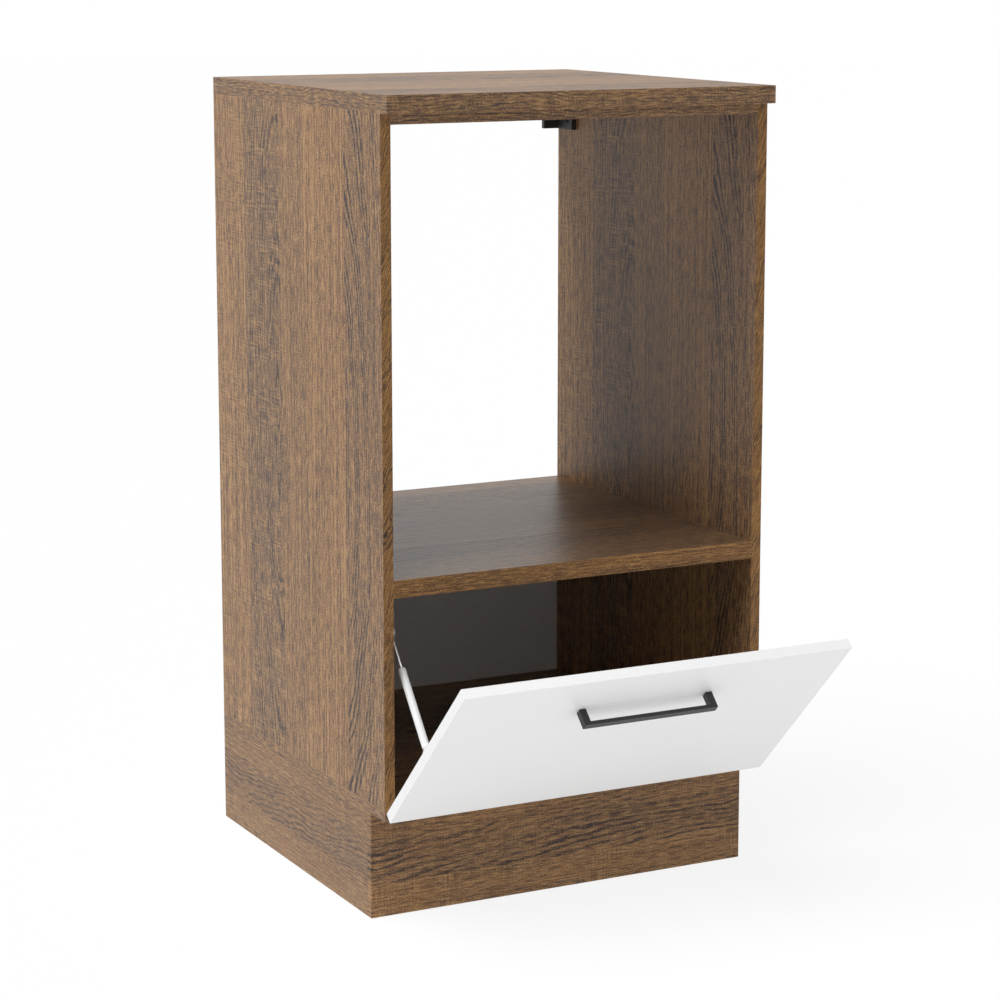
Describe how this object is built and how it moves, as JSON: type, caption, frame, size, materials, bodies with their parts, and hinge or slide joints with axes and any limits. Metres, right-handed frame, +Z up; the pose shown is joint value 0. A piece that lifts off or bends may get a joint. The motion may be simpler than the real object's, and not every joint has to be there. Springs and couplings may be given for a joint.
{
  "type": "oven base cabinet",
  "caption": "Tall base cabinet with an open niche for a built-in oven and a flap-door compartment below, hung on a gas strut.",
  "frame": {"origin": "at floor level, under the middle of the front plinth board, half way through its thickness", "axes": "+X to the cabinet's right as seen from the front, +Y towards its back, +Z up"},
  "size_m": [0.6, 0.832, 1.142],
  "materials": {
    "oak_decor": "brown oak decor paper on chipboard, fine sawn marks, satin",
    "oak_edge": "thin brown oak decor edge band, satin",
    "white_laminate": "satin white laminate on fibreboard",
    "white_edge": "thin white edge band, satin",
    "lacquered_hardboard": "light grey lacquered hardboard, satin",
    "black_paint": "black powder coat, satin",
    "black_plastic": "moulded black plastic",
    "raw_wood": "sawn softwood",
    "beech": "fluted beech",
    "zinc_cast": "die-cast zinc alloy",
    "screw_steel": "zinc-plated steel",
    "hinge_steel": "nickel-plated pressed steel",
    "strut_fitting_steel": "zinc-plated steel",
    "strut_white": "white paint, satin",
    "strut_rod_finish": "white coated rod, satin",
    "strut_plastic": "white moulded plastic",
    "guide_plastic": "black moulded plastic",
    "soft_pad": "clear soft plastic pad"
  },
  "bodies": {
    "cabinet": {"back_panel": "lacquered_hardboard", "back_panel_nails": "screw_steel", "base_panel": "oak_decor", "base_panel_edge_bands": "oak_edge", "cam_bolts": "screw_steel", "cam_locks": "zinc_cast", "dowels": "beech", "hinge_arm_left": "hinge_steel", "hinge_arm_right": "hinge_steel", "hinge_clamp_screws": "screw_steel", "hinge_plate_left": "hinge_steel", "hinge_plate_right": "hinge_steel", "hinge_plate_screws": "screw_steel", "joining_screws": "screw_steel", "oven_shelf": "oak_decor", "oven_shelf_edge_band": "oak_edge", "plinth_block_screws": "screw_steel", "plinth_corner_blocks": "raw_wood", "plinth_front": "oak_decor", "plinth_left": "oak_decor", "plinth_rear": "oak_decor", "plinth_right": "oak_decor", "rear_bracket_left": "black_plastic", "rear_bracket_right": "black_plastic", "rear_bracket_screws": "screw_steel", "side_panel_edge_bands": "oak_edge", "side_panel_left": "oak_decor", "side_panel_right": "oak_decor", "strut_side_ball_stud": "strut_fitting_steel", "strut_side_plate": "strut_fitting_steel", "strut_side_screws": "screw_steel", "top_rail_edge_bands": "oak_edge", "top_rail_front": "oak_decor", "top_rail_rear": "oak_decor", "worktop": "oak_decor", "worktop_edge_bands": "oak_edge", "worktop_screws": "screw_steel"},
    "door": {"door_panel": "white_laminate", "door_edge_bands": "white_edge", "hinge_cup_left": "hinge_steel", "hinge_cup_right": "hinge_steel", "hinge_pin_left": "hinge_steel", "hinge_pin_right": "hinge_steel", "hinge_cup_screws": "screw_steel", "handle": "black_paint", "handle_screws": "screw_steel", "strut_door_bracket": "strut_fitting_steel", "strut_door_stud": "strut_fitting_steel", "strut_door_screws": "screw_steel", "door_bumpers": "soft_pad"},
    "piston_rod": {"strut_rod": "strut_rod_finish", "strut_piston": "guide_plastic", "strut_upper_socket": "strut_plastic"},
    "gas_cylinder": {"strut_tube": "strut_white", "strut_rod_guide": "guide_plastic", "strut_lower_socket": "strut_plastic"}
  },
  "joints": [
    {"name": "door_hinge", "type": "hinge", "parent": "cabinet", "child": "door", "pos_m": [0, -0.065, 0.163], "axis": [1, 0, 0], "range_deg": [-45, 0]},
    {"name": "strut_swing", "type": "hinge", "parent": "cabinet", "child": "piston_rod", "pos_m": [-0.265, 0.0015, 0.4045], "axis": [1, 0, 0], "range_deg": [0, 25.44]},
    {"name": "strut_slide", "type": "slide", "parent": "piston_rod", "child": "gas_cylinder", "axis": [0, 0.6365, 0.7713], "range_m": [0, 0.0465]}
  ],
  "couplings": [
    {"joint": "strut_swing", "follows": "door_hinge", "ratio": -0.5653},
    {"joint": "strut_slide", "follows": "door_hinge", "m_per_rad": -0.05913}
  ]
}
